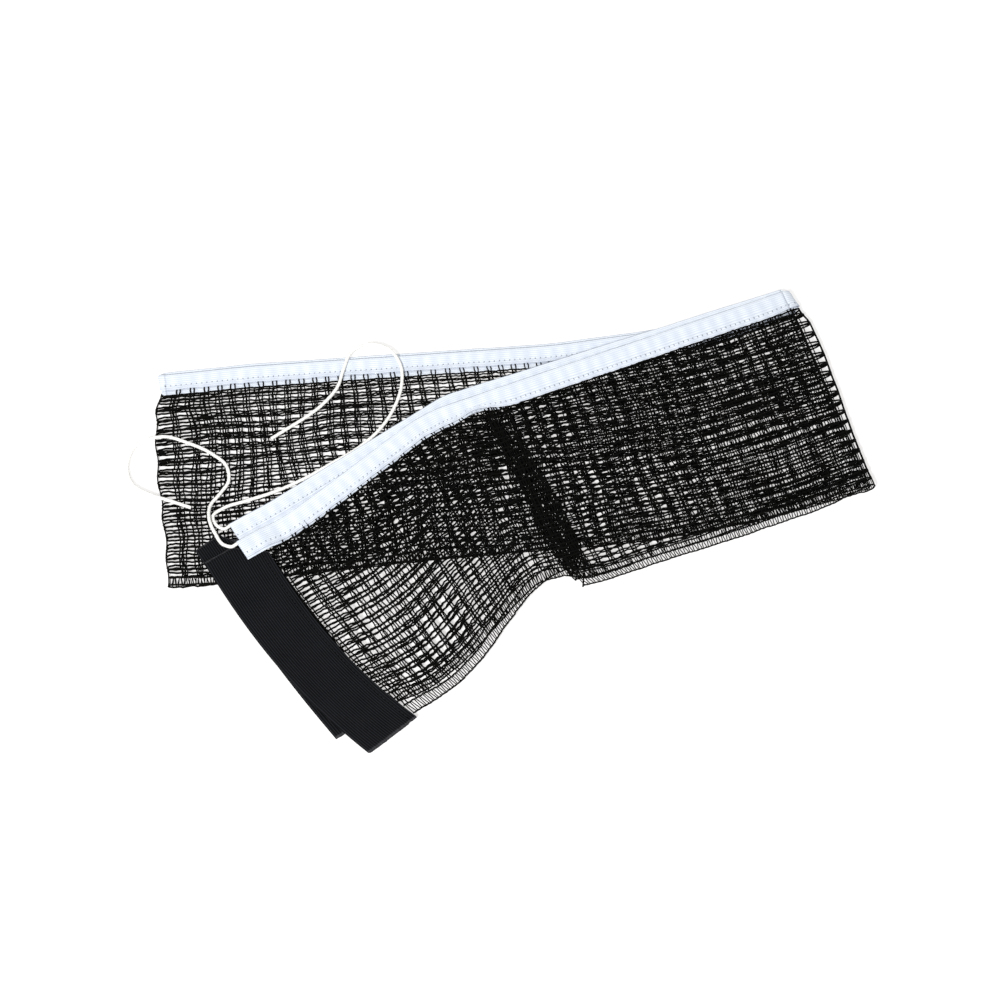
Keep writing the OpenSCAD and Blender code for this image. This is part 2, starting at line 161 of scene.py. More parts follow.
def curve_points(points, per=24):
    """A smooth line through points, by centripetal-like tangents."""
    p = np.array(points, float)
    gaps = np.linalg.norm(np.diff(p, axis=0), axis=1)
    slopes = np.diff(p, axis=0) / gaps[:, None]
    m = np.empty_like(p)
    before, after = gaps[:-1, None], gaps[1:, None]
    m[1:-1] = (slopes[:-1] * after + slopes[1:] * before) / (after + before)
    m[0], m[-1] = slopes[0], slopes[-1]
    t = np.linspace(0, 1, per, endpoint=False)[:, None]
    out = []
    for i, g in enumerate(gaps):
        out.append((2 * t**3 - 3 * t**2 + 1) * p[i] + (t**3 - 2 * t**2 + t) * g * m[i]
                   + (3 * t**2 - 2 * t**3) * p[i + 1] + (t**3 - t**2) * g * m[i + 1])
    return np.concatenate(out + [p[-1:]])


class Line:
    """A smooth line by shares of its length."""

    def __init__(self, points):
        self.p = curve_points(points)
        d = np.concatenate([[0], np.cumsum(np.linalg.norm(np.diff(self.p, axis=0), axis=1))])
        self.length, self.at = d[-1], d / d[-1]

    def __call__(self, t):
        return np.stack([np.interp(t, self.at, self.p[:, k]) for k in range(self.p.shape[1])], -1)


def unit(v):
    return v / np.maximum(np.linalg.norm(v, axis=-1, keepdims=True), 1e-9)


class Shape:
    """Gathers quads and caps of one piece, with a coordinate in mm on each point for its weave."""

    def __init__(self):
        self.v, self.f, self.w, self.n = [], [], [], 0

    def add(self, points, faces, weave):
        self.v.append(points.reshape(-1, 3))
        self.w.append(weave.reshape(-1, 3))
        self.f += [[int(k) + self.n for k in face] for face in faces]
        self.n += len(self.v[-1])

    def tubes(self, lines, side, radius, flat=0.9, sides=5, strands=0, strand_pitch=6.0):
        """Round threads along lines (threads, points, 3); side points across each, level if None."""
        lines = np.asarray(lines, float)
        m, n = lines.shape[:2]
        t = unit(np.gradient(lines, axis=1))
        side = np.stack([-t[..., 1], t[..., 0], 0 * t[..., 0]], -1) if side is None else side
        side = np.broadcast_to(np.asarray(side, float), lines.shape)
        s = unit(side - (side * t).sum(-1, keepdims=True) * t)
        up = np.cross(t, s)
        a = np.arange(sides) * 2 * math.pi / sides
        length = np.concatenate(
            [np.zeros((m, 1)), np.cumsum(np.linalg.norm(np.diff(lines, axis=1), axis=-1), axis=1)], axis=1)
        r = np.broadcast_to(np.asarray(radius, float), (m, n))[:, :, None] * np.ones(sides)
        if strands:
            twist = 2 * math.pi * length[:, :, None] / (strands * strand_pitch)
            turn = strands * (a[None, None, :] - twist)
            r = r * (0.9 + 0.13 * np.abs(np.cos(turn / 2)))
        ring = (lines[:, :, None, :] + r[..., None] * np.cos(a)[:, None] * s[:, :, None, :]
                + r[..., None] * flat * np.sin(a)[:, None] * up[:, :, None, :])
        i = np.arange(m)[:, None, None] * n * sides + np.arange(n - 1)[:, None] * sides
        k = np.arange(sides)
        j = (k + 1) % sides
        quads = np.stack([i + k, i + j, i + sides + j, i + sides + k], -1).reshape(-1, 4)
        starts = np.arange(m)[:, None] * n * sides
        caps = np.concatenate([starts + k[::-1], starts + (n - 1) * sides + k])
        weave = np.stack(np.broadcast_arrays(
            length[:, :, None], a * 0.45, np.arange(m)[:, None, None] * 1.7), -1)
        self.add(ring, quads.tolist() + caps.tolist(), weave)

    def swept(self, points, weave):
        """Closed skin of a swept outline: points (outline, rings, 3), with caps at both ends."""
        rows, cols = points.shape[:2]
        r = np.arange(rows)[:, None]
        c = np.arange(cols - 1)
        nxt = (r + 1) % rows
        here, there = r * cols + c, nxt * cols + c
        quads = np.stack([here, here + 1, there + 1, there], -1).reshape(-1, 4)
        caps = [[i * cols for i in range(rows)], [i * cols + cols - 1 for i in range(rows - 1, -1, -1)]]
        self.add(points, quads.tolist() + caps, weave)

    def piece(self, name, material):
        me = bpy.data.meshes.new(name)
        me.from_pydata((np.concatenate(self.v) * MM).tolist(), [], self.f)
        me.attributes.new("weave", "FLOAT_VECTOR", "POINT").data.foreach_set(
            "vector", np.concatenate(self.w).astype(np.float32).ravel())
        me.polygons.foreach_set("use_smooth", [True] * len(me.polygons))
        me.materials.append(material)
        me.update()
        ob = bpy.data.objects.new(name, me)
        bpy.context.scene.collection.objects.link(ob)
        return ob


# ---- the netting's surfaces
def held_up(xy):
    """1 where the upper half lies on the lower half, 0 where it has come down to the surface."""
    return 1 - ease((-31 + 0.115 * xy[..., 0] - xy[..., 1]) / 90)


def second_mid(h, u):
    """Height of the second panel's free end, held up by h, at the share u of its way to the sleeve."""
    t = ease((u - 0.6) / 0.25)
    return (1 - t) * (1.2 + 6 * h) + t * (2 * PITCH_Z * h + 1.5)


def right_bulge(v):
    """How far the netting turns out past its folds on the right, from the tape to the hem."""
    return (1 + 3.3 * ease(v / 0.1)) * (1 - 1.25 * ease((v - 0.15) / 0.8))


def left_bulge(v):
    """How far the netting turns out past the middle fold on the left."""
    return 1.6 + 3.8 * ease(v / 0.1) * (1 - 1.4 * ease((v - 0.3) / 0.6)) + 0.7 * np.sin(v * 31)


class Panel:
    """Netting under a stretch of tape: s runs along the tape in mm, v from the tape to the hem."""

    def __init__(self, start, run, s0, s1, hem, height, seed, drape, sag=0.0, lift=0.35, phase=0.12,
                 slip=0.0, creep=((0, 0), (0, 0)), sink=(0, 0, 0)):
        self.start, self.run, self.s0, self.s1 = start, run, s0, s1
        self.hem, self.height, self.sag, self.lift = Line(hem), height, sag, lift
        self.phase, self.slip, self.creep, self.sink = phase, slip, creep, sink
        self.noise = [Noise((drape if k in (0, 2) else seed) * 10 + k) for k in range(8)]

    def flat(self, s, v):
        tape = left_of(pose_at(self.start, self.run, s), NETTING_EDGE)
        foot = self.hem((s - self.s0) / (self.s1 - self.s0))
        return tape + (foot - tape) * v[..., None]

    def bent(self, xy, s, v):
        return xy

    def place(self, s, v):
        s, v = np.broadcast_arrays(np.asarray(s, float), np.asarray(v, float))
        n, d = self.noise, v * DEPTH
        ends = ease((s - self.s0) / 14) * ease((self.s1 - s) / 14)
        rim = ease((d + 2) / 16) * ease((DEPTH + 1 - d) / 12)
        creep = np.interp(s, *self.creep)
        stray = creep + 2.0 * n[0](s / 37, d / 41) + 0.7 * n[1](s / 17, d / 13)
        s2 = np.clip(s + ends * stray, self.s0, self.s1)
        deep, sink_from, sink_depth = self.sink
        sink = deep * ease((s - sink_from) / 40) * ease((d - sink_depth) / 30)
        v2 = v + rim * (sink + 2.2 * n[2](s / 43, d / 33) + 0.5 * n[3](s / 14, d / 12)) / DEPTH
        xy = self.bent(self.flat(s2, v2), s2, v2)
        inner = ease((s - self.s0) / 40) * ease((self.s1 - s) / 40)
        soft = ease((s - self.s0) / 16) * ease((self.s1 - s) / 16) * ease((d + 1) / 14)
        z = self.height(xy, (s - self.s0) / (self.s1 - self.s0), v)
        z = z - self.sag * inner * ease((v - 0.05) / 0.35)
        z = z + self.lift * soft * (n[4](s / 33, d / 27) + 0.4 * n[5](s / 13, d / 13))
        return np.concatenate([xy, z[..., None]], -1)


class LowerPanel(Panel):
    """A panel whose edge at the middle fold, on the left, bows outwards."""

    def bent(self, xy, s, v):
        return xy + MIDDLE_OUT * (left_bulge(v) * (1 - ease((self.s1 - s) / 30)))[..., None]


class TopPanel(Panel):
    """The upper right panel, whose left edge is the outer fold of the pleat."""

    def __init__(self, *args, **kw):
        super().__init__(*args, **kw)
        self.head = left_of(pose_at(TOP_START, TOP_RUN, TOP_BEND), NETTING_EDGE)
        middle = self.head * 0.55 + np.array([30, -36]) * 0.45 - [1.0, 0]
        self.edge = Line([self.head, middle, [30.5, -40], [37, -49.5], PLEAT_FOOT])

    def bent(self, xy, s, v):
        straight = self.head + (np.array(PLEAT_FOOT) - self.head) * v[..., None]
        return xy + (self.edge(np.clip(v, 0, 1)) - straight) * (ease((s - 140) / 78) * (v > 0))[..., None]


class EndPanel(Panel):
    """A free end of the net, which falls to the surface and runs into its sleeve."""

    def __init__(self, *args, bow=(0, -6), **kw):
        super().__init__(*args, **kw)
        self.bow = bow

    def bent(self, xy, s, v):
        u = (s - self.s0) / (self.s1 - self.s0)
        bow = (self.bow[0] * (1 - u) + self.bow[1] * u) * 4 * v * (1 - v)
        return xy + np.stack([bow, 0.5 * bow], -1)


def level(mid):
    """The same height everywhere."""
    return lambda xy, u, v: np.full(xy.shape[:-1], mid)


def over_tape(mid, at_tape):
    """Flat at mid, and at another height where it leaves its tape."""
    return lambda xy, u, v: mid + (at_tape - mid) * (1 - ease((v * DEPTH) / 9))


def top_end_height(xy, u, v):
    """Over the second panel's free end, and higher near the tape and the sleeve."""
    h = held_up(xy)
    h = h + (1 - h) * (1 - ease((u - 0.15) / 0.25))
    return second_mid(h, u) + 1.5 + 1.8 * np.maximum(ease((u - 0.3) / 0.55), 1 - ease(v / 0.14))


def second_end_height(xy, u, v):
    return second_mid(held_up(xy), u)


LOWER_LENGTH = run_length(LOWER_RUN)
bottom = LowerPanel(BOTTOM_START, LOWER_RUN, 0, LOWER_LENGTH, LOWER_HEM, level(0.66), 11, 11, lift=0.0)
third = LowerPanel(THIRD_START, LOWER_RUN, 0, LOWER_LENGTH, LOWER_HEM, over_tape(3.9, 4.1), 12, 11,
                   sag=0.9, phase=0.1, slip=0.5, creep=((120, 210, 300, 350), (2.3, 0, 0, -2.2)),
                   sink=(3.0, 270, 50))
second = Panel(SECOND_START, SECOND_RUN, 0, SECOND_BEND, SECOND_HEM, level(7.2), 13, 13,
               sag=1.3, phase=0.02, slip=1.9, creep=((100, 190), (-2.0, 0)))
second_end = EndPanel(SECOND_START, SECOND_RUN, SECOND_BEND, SECOND_NETTED, SECOND_END_HEM,
                      second_end_height, 13, 13, lift=0.3, phase=0.02, slip=1.9, bow=(0, -2))
top = TopPanel(TOP_START, TOP_RUN, 0, TOP_BEND, RIGHT_HEM, over_tape(TOP_NETTING_MID, 11.2), 15, 13,
               sag=1.6, creep=((100, 190), (4.2, 0)))
top_end = EndPanel(TOP_START, TOP_RUN, TOP_BEND, TOP_NETTED, TOP_END_HEM, top_end_height, 16, 13,
                   lift=0.3, bow=(8, -6))


# ---- the netting's threads
TUBE_FLAT, THREAD_FLAT = 0.85, 0.9
HEM_FOOT = DEPTH - 0.4
RUNG_DEPTHS = np.array([DEPTH - HEM_W, DEPTH - HEM_W / 2, HEM_FOOT])


def row_list():
    """Depth, side of its pair and radius of every chain along the net."""
    rows = [(0.5, 0, ROW_R)]
    for k in range(ROW_PAIRS):
        rows += [(FIRST_ROW + ROW_PITCH * k, -1, ROW_R), (FIRST_ROW + ROW_PITCH * k, 1, ROW_R)]
    return rows + [(DEPTH - HEM_W, 0, ROW_R), (HEM_FOOT, 0, 0.6)]


CHAIN_R = np.array([r for _, _, r in row_list()])


def row_depths(panel, s, tag):
    """Depth of every chain at lengths s: (chains, points)."""
    jitter = Noise(tag)
    c = 2 * math.pi * (s / COLUMN_PITCH - panel.phase)
    out = []
    for k, (depth, way, _) in enumerate(row_list()):
        wave = way * (ROW_HALF - 0.2 * np.cos(c) + 0.13 * np.cos(2 * c))
        if way == 0:
            wave = 0.16 * np.cos(2 * c + k)
        loose = 0.3 * jitter(s / 4.7, k * 3.3) + 0.22 * jitter(s / 2.3, k * 5.1 + 9)
        out.append(depth + panel.slip * abs(way) + wave + loose)
    return np.array(out)


def chain_rise(panel, s):
    """How far the chains lie above the panel's middle: they pass over the threads across the net."""
    return 0.16 + 0.1 * np.cos(2 * math.pi * (s / COLUMN_PITCH - panel.phase + 0.5))


def across(panel, s, v):
    """Direction from the tape towards the hem."""
    return unit(panel.place(s, v + 0.004) - panel.place(s, v - 0.004))


def column_lines(panel, centres, tag):
    """The paired threads across the net at centres, and the fine thread that binds each pair."""
    n = Noise(tag)
    d = np.linspace(-4.2, DEPTH - HEM_W, 72)
    j = np.arange(len(centres))[:, None] + 0.5
    pinch = COLUMN_HALF + 0.24 * np.cos(2 * math.pi * (d - FIRST_ROW) / ROW_PITCH)

    def drift(at):
        return 0.75 * n(at / 23, j * 2.7) * ease((at + 2) / 12)

    pairs = []
    for way in (-1, 1):
        own = 0.38 * n(d / 3.9, j * 4.1 + way) + 0.25 * way * n(d / 15, j * 1.9 + 7)
        s = centres[:, None] + drift(d) + way * pinch + own
        pairs.append(panel.place(s, np.broadcast_to(d / DEPTH, s.shape)))
    lines = np.concatenate(pairs)
    lines[..., 2] -= 0.12 + 0.1 * np.cos(math.pi * (d - FIRST_ROW) / ROW_PITCH)
    d = np.arange(0.5, DEPTH - HEM_W, 2.0)
    zig = np.where(np.arange(len(d)) % 2, 1.0, -1.0)
    s = centres[:, None] + drift(d) + (0.95 + 0.3 * n(d / 5, j * 3)) * zig
    fine = panel.place(s, np.broadcast_to(d / DEPTH, s.shape))
    return lines, fine


def rung_lines(panel, s, tag):
    """The short threads that cross the laddered hem."""
    n = Noise(tag)
    lean = 0.38 * np.where(np.arange(len(s)) % 2, 1, -1)[:, None] * np.array([-1, 0.1, 1])
    at = s[:, None] + lean + 0.35 * n(s / 2.1, 3.5)[:, None] * np.array([0.3, 1, 0.6])
    return panel.place(at, np.broadcast_to(RUNG_DEPTHS / DEPTH, at.shape))


def fullness(panel, s):
    """How full the yarn is: least where four panels lie on each other, most at the far left."""
    left = 0.14 * ease((s - 355) / 40) if isinstance(panel, LowerPanel) else 0.0
    return 0.88 + 0.1 * ease((s - 225) / 60) + left


def knit(shape, panel, s0, s1, tag, extra=()):
    """The threads of one panel from s0 to s1, with extra threads across it where it is gathered."""
    s = np.linspace(s0, s1, int(round((s1 - s0) / COLUMN_PITCH * 5)) + 1)
    depths = row_depths(panel, s, tag) / DEPTH
    lines = panel.place(s[None, :], depths)
    lines[..., 2] += chain_rise(panel, s)
    shape.tubes(lines, across(panel, s[None, :], depths), CHAIN_R[:, None] * fullness(panel, s), TUBE_FLAT)
    first = math.ceil((s0 + 0.9) / COLUMN_PITCH - panel.phase)
    last = int((s1 - 2) / COLUMN_PITCH - panel.phase)
    centres = np.append((np.arange(first, last + 1) + panel.phase) * COLUMN_PITCH, extra)
    pairs, fine = column_lines(panel, centres, tag + 1)
    shape.tubes(pairs, None, COLUMN_R * np.tile(fullness(panel, centres), 2)[:, None], THREAD_FLAT, 4)
    shape.tubes(fine, None, 0.2, THREAD_FLAT, 3)
    rungs = rung_lines(panel, np.arange(s0 + 0.8, s1 - 0.5, RUNG_PITCH), tag + 2)
    shape.tubes(rungs, None, RUNG_R, THREAD_FLAT, 4)


def gathered(panel, s, d):
    """How far each chain at depths d moves to the middle of its pair, and the way to the hem there."""
    pair_at = FIRST_ROW + np.clip(np.round((d - FIRST_ROW) / ROW_PITCH), 0, ROW_PAIRS - 1) * ROW_PITCH
    move = np.where(np.abs(pair_at - d) < ROW_PITCH / 2, 0.7 * (pair_at - d), 0)
    return move, across(panel, s, d / DEPTH)


def bight(shape, low, low_s, high, high_s, out, zc, radius, full, tags, columns):
    """The netting round a fold, from the panel low to the panel high; full is its share of the bulge."""
    phi = np.linspace(0, math.pi, 11)
    wobble = Noise(tags[2])

    def ring(d_low, d_high):
        return low.place(low_s, d_low / DEPTH), high.place(high_s, d_high / DEPTH)

    def turn(a, b, p, d):
        share = (p / math.pi)[..., None]
        base = a + (b - a) * share
        r = (radius * (1 + 0.05 * wobble(d / 9, 2.5)) + full * right_bulge(d / DEPTH))[..., None]
        xy = base[..., :2] + out * np.sin(p)[..., None] * r
        z = base[..., 2] + (zc - (a[..., 2] + (b[..., 2] - a[..., 2]) * share[..., 0])) - radius * np.cos(p)
        ends = np.abs(np.cos(p)) ** 4
        z = z * (1 - ends) + base[..., 2] * ends
        return np.concatenate([xy, z[..., None]], -1)

    d_low = row_depths(low, np.array([low_s]), tags[0])[:, 0]
    d_high = row_depths(high, np.array([high_s]), tags[1])[:, 0]
    a, b = ring(d_low, d_high)
    lines = turn(a[:, None], b[:, None], np.broadcast_to(phi, (len(d_low), len(phi))), d_low[:, None])
    side = unit(lines[1:] - lines[:-1])
    side = np.concatenate([side, side[-1:]])
    rise = chain_rise(low, low_s), chain_rise(high, high_s)
    lines[..., 2] += rise[0] + (rise[1] - rise[0]) * phi / math.pi
    move, down = gathered(low, low_s, d_low)
    lines += down[:, None] * (min(1, full) * move[:, None] * np.sin(phi))[..., None]
    shape.tubes(lines, side, CHAIN_R[:, None], TUBE_FLAT)

    d = np.linspace(-1.0, DEPTH - HEM_W, 70)
    a, b = ring(d, d)
    group = []
    for centre in columns:
        for way in (-1, 1):
            p = centre + way * 0.75 / radius + 0.3 / radius * wobble(d / 4, centre * 9 + way)
            group.append(turn(a, b, np.clip(p, 0, math.pi), d))
    group = np.array(group)
    shape.tubes(group, unit(group - (a + b) / 2), COLUMN_R, THREAD_FLAT, 4)

    count = max(3, int(math.pi * radius / RUNG_PITCH))
    a, b = ring(RUNG_DEPTHS, RUNG_DEPTHS)
    angles = (np.arange(count) + 0.5) * math.pi / count
    rungs = np.array([turn(a, b, np.full(3, p), RUNG_DEPTHS) for p in angles])
    shape.tubes(rungs, unit(rungs - (a + b) / 2), RUNG_R, THREAD_FLAT, 4)


def pleat(shape, tag):
    """The hidden ply of the pleat, with the small folds that join it to the panel and the free end."""
    mid = 10.2
    d = row_depths(top, np.array([TOP_BEND]), tag)[:, 0]
    d2 = row_depths(top_end, np.array([TOP_BEND]), tag + 40)[:, 0]
    a = top.place(TOP_BEND, d / DEPTH)
    b = top_end.place(TOP_BEND, d2 / DEPTH)
    width = np.linalg.norm(b[:, :2] - a[:, :2], axis=1)
    way = unit(b[:, :2] - a[:, :2])
    reach = way * (np.minimum(1, width / 4) * (1 - 0.9 * ease((d / DEPTH - 0.88) / 0.06)))[:, None]

    def at(xy, z):
        return np.concatenate([xy, np.broadcast_to(z, (len(xy),))[:, None]], 1)

    turns = ((0.75, 0.15), (1.0, 0.5), (0.75, 0.85))
    stops = [a] + [at(a[:, :2] - p * reach, a[:, 2] + (mid - a[:, 2]) * z) for p, z in turns]
    stops += [at(a[:, :2] + (b[:, :2] - a[:, :2]) * t, mid) for t in np.linspace(0, 1, 5)]
    stops += [at(b[:, :2] + p * reach, mid + (b[:, 2] - mid) * z) for p, z in turns] + [b]
    lines = np.stack(stops, 1)
    shape.tubes(lines, unit(np.gradient(lines, axis=0)), CHAIN_R[:, None], TUBE_FLAT)
    d = np.linspace(3.0, DEPTH - HEM_W, 66)
    a, b = top.place(TOP_BEND, d / DEPTH), top_end.place(TOP_BEND, d / DEPTH)
    n = Noise(tag + 3)
    group = []
    for k, t in enumerate((0.0, 0.12, 0.3, 0.42, 0.62, 0.76, 0.93, 1.0)):
        share = np.clip(t + 0.05 * n(d / 6, k * 2.2), 0, 1)[:, None]
        p = a + (b - a) * share
        p[:, 2] = mid + 0.25 * n(d / 5, k + 30)
        group.append(p)
    shape.tubes(group, None, COLUMN_R, THREAD_FLAT, 4)


# ---- materials
RIB = 1.6
STITCH_PITCH = 3.4


def srgb(r, g, b):
    """A shader colour from 0 to 255 display values."""
    linear = [c / 255 / 12.92 if c <= 10 else ((c / 255 + 0.055) / 1.055) ** 2.4 for c in (r, g, b)]
    return (*linear, 1.0)


class Look:
    """A node material read from the piece's own weave coordinate, in mm."""

    def __init__(self, name, rough, sheen=0.0, specular=0.3):
        self.m = bpy.data.materials.new(name)
        self.m.use_nodes = True
        self.t = self.m.node_tree
        self.bsdf = next(n for n in self.t.nodes if n.type == "BSDF_PRINCIPLED")
        self.bsdf.inputs["Roughness"].default_value = rough
        self.bsdf.inputs["Sheen Weight"].default_value = sheen
        self.bsdf.inputs["Sheen Roughness"].default_value = 0.5
        self.bsdf.inputs["Specular IOR Level"].default_value = specular
        a = self.node("ShaderNodeAttribute")
        a.attribute_name = "weave"
        self.weave = a.outputs["Vector"]
        split = self.node("ShaderNodeSeparateXYZ")
        self.link(self.weave, split.inputs[0])
        self.x, self.y = split.outputs[0], split.outputs[1]

    def node(self, kind, **values):
        n = self.t.nodes.new(kind)
        for key, value in values.items():
            setattr(n, key, value)
        return n

    def link(self, a, b):
        self.t.links.new(a, b)

    def times(self, a, b):
        return self.math("MULTIPLY", a, b)

    def plus(self, a, b):
        return self.math("ADD", a, b)

    def math(self, what, a, b=None, c=None, clamp=False):
        n = self.node("ShaderNodeMath", operation=what, use_clamp=clamp)
        for i, value in enumerate((a, b, c)):
            if value is None:
                continue
            if isinstance(value, (int, float)):
                n.inputs[i].default_value = value
            else:
                self.link(value, n.inputs[i])
        return n.outputs[0]

    def wave(self, x, period, phase=0.0):
        """0 to 1 along x, once each period."""
        w = self.math("SINE", self.math("MULTIPLY_ADD", x, 2 * math.pi / period, phase))
        return self.math("MULTIPLY_ADD", w, 0.5, 0.5)

    def noise(self, scale, detail=3.0, stretch=(1, 1, 1)):
        mapping = self.node("ShaderNodeMapping")
        mapping.inputs["Scale"].default_value = stretch
        self.link(self.weave, mapping.inputs["Vector"])
        n = self.node("ShaderNodeTexNoise")
        n.inputs["Scale"].default_value = scale
        n.inputs["Detail"].default_value = detail
        self.link(mapping.outputs[0], n.inputs["Vector"])
        return n.outputs["Fac"]

    def near(self, x, centre, half):
        """1 at centre, falling to 0 at half either side."""
        far = self.math("DIVIDE", self.math("ABSOLUTE", self.math("SUBTRACT", x, centre)), half)
        return self.math("SUBTRACT", 1.0, far, clamp=True)

    def mix(self, fac, a, b):
        n = self.node("ShaderNodeMix", data_type="RGBA")
        for value, socket in ((fac, n.inputs[0]), (a, n.inputs[6]), (b, n.inputs[7])):
            if isinstance(value, (tuple, float, int)):
                socket.default_value = value
            else:
                self.link(value, socket)
        return n.outputs[2]

    def finish(self, colour, height, distance, strength=0.6, rough=None):
        self.link(colour, self.bsdf.inputs["Base Color"])
        bump = self.node("ShaderNodeBump")
        bump.inputs["Strength"].default_value = strength
        bump.inputs["Distance"].default_value = distance * MM
        self.link(height, bump.inputs["Height"])
        self.link(bump.outputs[0], self.bsdf.inputs["Normal"])
        if rough is not None:
            self.link(rough, self.bsdf.inputs["Roughness"])
        return self.m


def yarn(name, dark, light, pitch, rough, sheen, specular=0.3):
    """Twisted yarn: plies wind round it, with fuzz and slow changes of shade along it."""
    k = Look(name, rough, sheen, specular)
    twist = k.wave(k.plus(k.math("DIVIDE", k.x, pitch), k.times(k.y, 0.35)), 1.0)
    fuzz = k.noise(2.6, 4.0, (0.5, 1.5, 1.0))
    slow = k.noise(0.12, 2.0)
    cloud = k.math("MULTIPLY_ADD", fuzz, 0.4, k.times(slow, 0.5))
    shade = k.math("MULTIPLY_ADD", twist, 0.35, cloud, clamp=True)
    colour = k.mix(shade, dark, light)
    height = k.plus(twist, k.times(fuzz, 0.6))
    return k.finish(colour, height, 0.12, 0.7, k.math("MULTIPLY_ADD", fuzz, 0.25, rough - 0.1))


def tape_look(name, seam_at, painted_shade_at):
    """Woven ribbon: fine ribs along it, the netting pressed through it, needle holes along its seam
    darkened with painted shade, and a band of painted shade along the narrow ply's edge.
    """
    k = Look(name, 0.7, 0.05, 0.2)
    across_it = k.math("ABSOLUTE", k.y)
    rib = k.wave(across_it, 1.4)
    fine = k.wave(across_it, 0.42)
    weft = k.wave(k.x, 0.5)
    off_cord = k.math("SUBTRACT", 1.0, k.near(across_it, 2.0, 3.0))
    press = k.times(k.wave(k.x, COLUMN_PITCH, math.pi / 2), off_cord)
    cloud = k.noise(0.11, 3.0)
    grain = k.noise(1.4, 4.0, (0.35, 1.6, 1.0))
    needle = k.math("POWER", k.wave(k.x, STITCH_PITCH, -math.pi / 2), 12.0)
    some = k.math("MULTIPLY_ADD", k.noise(0.35, 2.0), 3.0, -0.4, clamp=True)
    # Painted shade in the needle holes: dark dots between the stitches, at some of them, with a bump that
    # sinks them.
    needle_hole_shade = k.math("MULTIPLY", k.times(k.near(across_it, seam_at, 0.75), needle), some, clamp=True)
    worn = k.math("MULTIPLY_ADD", cloud, 0.45, k.times(grain, 0.25))
    shade = k.math("MULTIPLY_ADD", rib, 0.5, worn, clamp=True)
    colour = k.mix(shade, srgb(184, 194, 211), srgb(238, 243, 248))
    colour = k.mix(k.times(press, 0.55), colour, srgb(198, 207, 221))
    # Painted shade: a lavender-grey band along the narrow ply's edge, where shade falls in the groove
    # between the tapes.
    colour = k.mix(k.times(k.near(across_it, painted_shade_at, 1.1), 0.35), colour, srgb(170, 176, 192))
    # The needle holes get their painted shade here.
    colour = k.mix(needle_hole_shade, colour, srgb(48, 54, 68))
    weave = k.plus(k.times(rib, 0.7), k.plus(k.times(fine, 0.4), k.times(weft, 0.3)))
    height = k.plus(weave, k.plus(k.times(press, 1.4), k.times(needle_hole_shade, -4.0)))
    return k.finish(colour, height, 0.16, 0.6, k.math("MULTIPLY_ADD", grain, 0.25, 0.5))


def webbing_look(name, length, seams):
    """Ribbed black webbing: ribs along the sleeve, fine weft across, painted shade along its seams, lighter
    cut ends.
    """
    k = Look(name, 0.9, 0.0, 0.02)
    rib = k.wave(k.y, RIB, math.pi / 2)
    weft = k.wave(k.x, 0.55)
    slow = k.noise(0.07, 3.0)
    grain = k.noise(1.8, 4.0, (0.4, 1.5, 1.0))
    worn = k.math("MULTIPLY_ADD", slow, 0.25, k.times(grain, 0.25))
    shade = k.math("MULTIPLY_ADD", k.math("POWER", rib, 3.0), 0.8, worn, clamp=True)
    colour = k.mix(shade, srgb(2, 2, 3), srgb(35, 36, 39))
    # Painted shade along the seams, where the webbing dips: it darkens them almost to black.
    sewn = k.math("MAXIMUM", k.near(k.y, seams[0], 0.7), k.near(k.y, seams[1], 0.7))
    colour = k.mix(k.times(sewn, 0.9), colour, srgb(1, 1, 2))
    cut = k.math("MAXIMUM", k.near(k.x, 0.0, 1.2), k.near(k.x, length, 1.2))
    colour = k.mix(k.times(cut, k.times(grain, 0.9)), colour, srgb(92, 92, 96))
    height = k.plus(k.times(rib, 1.3), k.plus(k.times(weft, 0.35), k.times(grain, 0.4)))
    return k.finish(colour, height, 0.25, 0.7, k.math("MULTIPLY_ADD", rib, -0.12, 0.74))


netting_yarn = yarn("netting_yarn", srgb(2, 2, 2), srgb(15, 14, 13), 1.9, 0.85, 0.0, specular=0.06)
cord_yarn = yarn("cord_yarn", srgb(222, 221, 216), srgb(248, 247, 243), 2.2, 0.7, 0.1)
tape_thread = yarn("tape_thread", srgb(188, 195, 206), srgb(214, 219, 226), 0.9, 0.7, 0.02)
sleeve_thread = yarn("sleeve_thread", srgb(4, 4, 6), srgb(24, 25, 29), 0.9, 0.7, 0.02, specular=0.15)


# ---- cords first: the two free tails
def rope(name, route):
    """A three-strand rope along route, its centre line and its length."""
    line = Line(np.array(route, float))
    path = line(np.linspace(0, 1, int(line.length / 0.8)))
    shape = Shape()
    shape.tubes(path[None], None, CORD_R, 1.0, 15, strands=3, strand_pitch=5.2)
    return shape.piece(name, cord_yarn), path, line.length


def end_lift(z0, length, s, d):
    """The top tape's end rises over the front sleeve, most at its sewn edge."""
    if z0 != TOP_Z:
        return 0.0 * (s + d)
    return 3.3 * ease((s - length + 29) / 14) * (0.5 + 0.5 * np.clip(d / 9, 0, 1))


def way_out(start, run, z):
    """The cord's first two points: the open end of its tape, and 4 mm straight out of it."""
    end = pose_at(start, run, np.array(run_length(run)))
    out = end + np.array([4 * math.cos(end[2]), 4 * math.sin(end[2]), 0])
    height = float(z + TAPE_CENTRE + end_lift(z, 0.0, 0.0, TAPE_CENTRE))
    return [list(left_of(q, TAPE_CENTRE)) + [height] for q in (end, out)]


for name, start, run, z, tail in (
    ("cord_tail_front", TOP_START, TOP_RUN, TOP_Z, FRONT_TAIL),
    ("cord_tail_back", SECOND_START, SECOND_RUN, SECOND_Z, BACK_TAIL),
):
    route = way_out(start, run, z) + tail
    piece, path, length = rope(name + "_rope", route)
    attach(piece, "upper_half")
    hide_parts(name)


